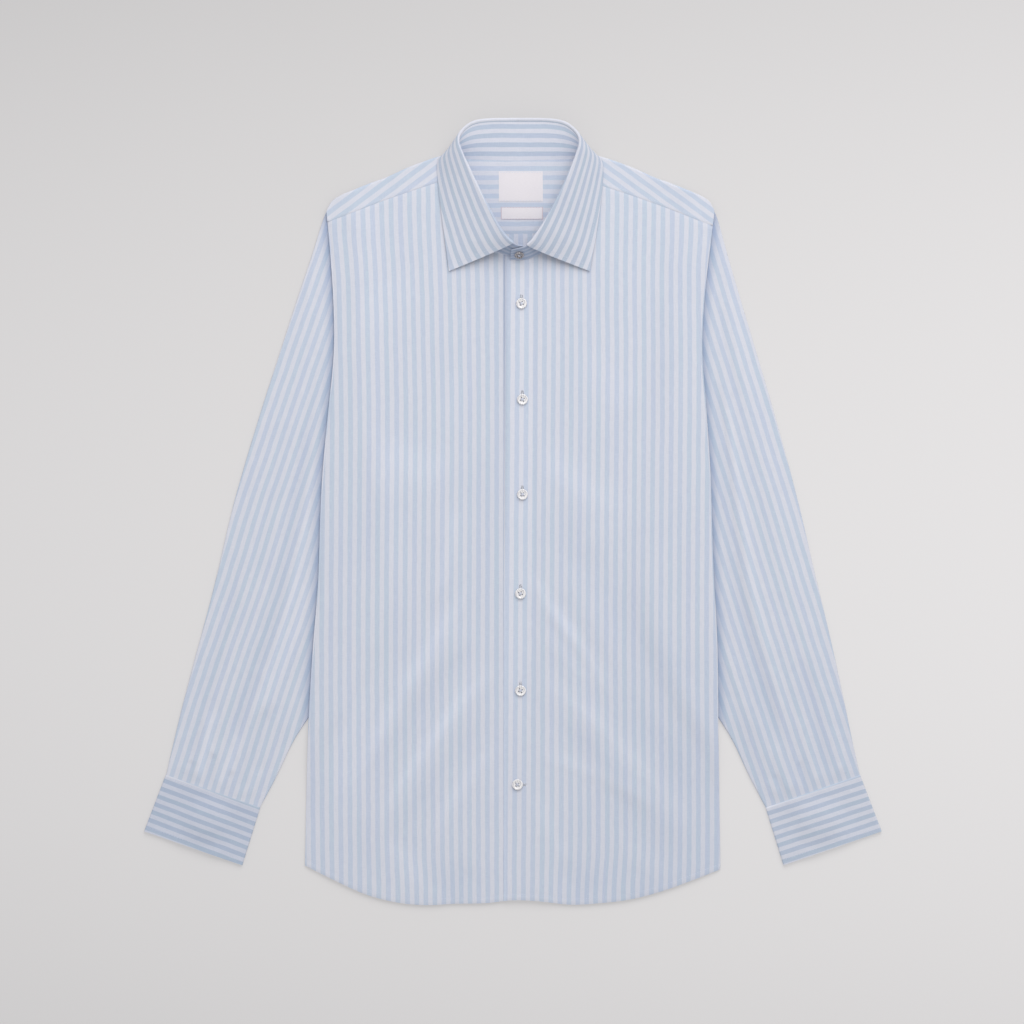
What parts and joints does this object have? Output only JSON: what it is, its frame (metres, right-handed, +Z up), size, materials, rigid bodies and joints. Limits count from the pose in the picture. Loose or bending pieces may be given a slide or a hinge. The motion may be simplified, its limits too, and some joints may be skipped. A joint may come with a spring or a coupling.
{
  "type": "long sleeve dress shirt",
  "caption": "Long sleeve dress shirt in fine striped cotton, buttoned up and laid flat on its back, its turned-down collar standing open and its sleeves at its sides.",
  "frame": {"origin": "middle of the shirt's bounding box, on the surface that it lies on", "axes": "+X towards the wearer's left, +Y from the hem to the collar, +Z up from the surface"},
  "size_m": [0.7672, 0.8178, 0.028],
  "materials": {
    "striped_cotton": "smooth plain-woven cotton with narrow light blue and white stripes",
    "label_weave": "satin-woven white label tape",
    "pearl": "glossy off-white with a pearly sheen"
  },
  "bodies": {
    "root": {"back": "striped_cotton", "yoke": "striped_cotton", "front_right": "striped_cotton", "front_left": "striped_cotton", "collar_band": "striped_cotton", "collar_leaf": "striped_cotton", "sleeve_right": "striped_cotton", "cuff_right": "striped_cotton", "sleeve_left": "striped_cotton", "cuff_left": "striped_cotton", "label_main": "label_weave", "label_small": "label_weave", "button_1": "pearl", "button_2": "pearl", "button_3": "pearl", "button_4": "pearl", "button_5": "pearl", "button_6": "pearl", "button_cuff_right": "pearl", "button_cuff_left": "pearl", "button_collar": "pearl"}
  },
  "joints": []
}
